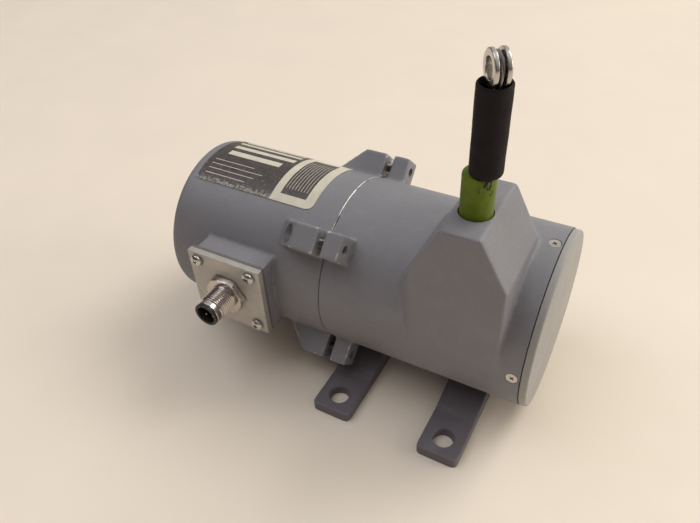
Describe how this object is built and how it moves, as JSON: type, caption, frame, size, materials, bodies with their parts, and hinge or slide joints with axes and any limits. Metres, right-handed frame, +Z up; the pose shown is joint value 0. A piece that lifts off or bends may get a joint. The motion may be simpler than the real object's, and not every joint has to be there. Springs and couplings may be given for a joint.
{
  "type": "rotary encoder",
  "caption": "Cable-extension rotary encoder: a spring-loaded cable drum in a grey die-cast housing on foot bars, with an eyelet on the cable's end and a round threaded connector.",
  "frame": {"origin": "centre of the object's bounding box, on the plane the feet stand on", "axes": "+X along the drum's shaft towards the end cap, +Z up along the cable, -Y the way the connector points"},
  "size_m": [0.1642, 0.1134, 0.158],
  "materials": {
    "grey_paint": "grey powder coat, fine texture",
    "cap_paint": "light grey paint on a machined disc",
    "steel": "bright stainless steel",
    "nickel": "nickel plating",
    "aluminium": "satin bare aluminium",
    "bronze": "satin",
    "gold": "gold plating",
    "black_plastic": "satin",
    "black_rubber": "matt heat-shrink sleeve",
    "green_rubber": "satin",
    "seal_rubber": "matt",
    "label_film": "printed film, worn at one edge",
    "board": "solder resist",
    "glass": "clear",
    "wire_jacket": "matt"
  },
  "bodies": {
    "housing": {"front_housing": "grey_paint", "rear_housing": "grey_paint", "front_foot": "grey_paint", "rear_foot": "grey_paint", "end_cap": "cap_paint", "power_spring": "steel", "spring_case": "steel", "spring_case_cover": "steel", "front_bearing_outer_ring": "steel", "rear_bearing_outer_ring": "steel", "lug_screw_top_back": "steel", "lug_screw_top_near": "steel", "lug_screw_bottom_near": "steel", "lug_screw_bottom_back": "steel", "cap_screw_top": "steel", "cap_screw_back": "steel", "cap_screw_bottom": "steel", "cap_screw_near": "steel", "plate_screw_1": "steel", "plate_screw_2": "steel", "plate_screw_3": "steel", "plate_screw_4": "steel", "foot_screw_1": "steel", "foot_screw_2": "steel", "foot_screw_3": "steel", "foot_screw_4": "steel", "connector_shell": "nickel", "connector_locknut": "nickel", "connector_plate": "aluminium", "bearing_plate": "aluminium", "encoder_base": "aluminium", "encoder_cover": "aluminium", "cable_guide": "bronze", "encoder_bush": "bronze", "contact_pin_1": "gold", "contact_pin_2": "gold", "contact_pin_3": "gold", "contact_pin_4": "gold", "connector_insert": "black_plastic", "read_head": "black_plastic", "stop_sleeve": "green_rubber", "seam_seal_ring": "seal_rubber", "plate_gasket": "seal_rubber", "rating_label": "label_film", "encoder_board": "board", "connector_wiring": "wire_jacket"},
    "drum": {"main_shaft": "steel", "cable_drum": "aluminium", "cable_winding": "steel", "spring_arbor": "steel", "front_bearing_inner_ring": "steel", "rear_bearing_inner_ring": "steel", "shaft_coupling": "aluminium", "encoder_shaft": "steel", "code_disc": "glass"},
    "cable_end": {"measuring_cable": "steel", "crimp_ferrule": "steel", "end_sleeve": "black_rubber", "eyelet": "steel", "cable_loop": "steel"}
  },
  "joints": [
    {"name": "drum_turn", "type": "hinge", "parent": "housing", "child": "drum", "pos_m": [0.0525, 0.00345, 0.044], "axis": [-1, 0, 0], "range_deg": [0, 645.22], "stiffness_Nm_per_rad": 0.0035, "springref_deg": -1145.92},
    {"name": "cable_pull", "type": "slide", "parent": "housing", "child": "cable_end", "axis": [0, 0, 1], "range_m": [0, 0.25], "deforming": ["measuring_cable"]}
  ],
  "couplings": [
    {"joint": "cable_pull", "follows": "drum_turn", "m_per_rad": 0.0222}
  ]
}
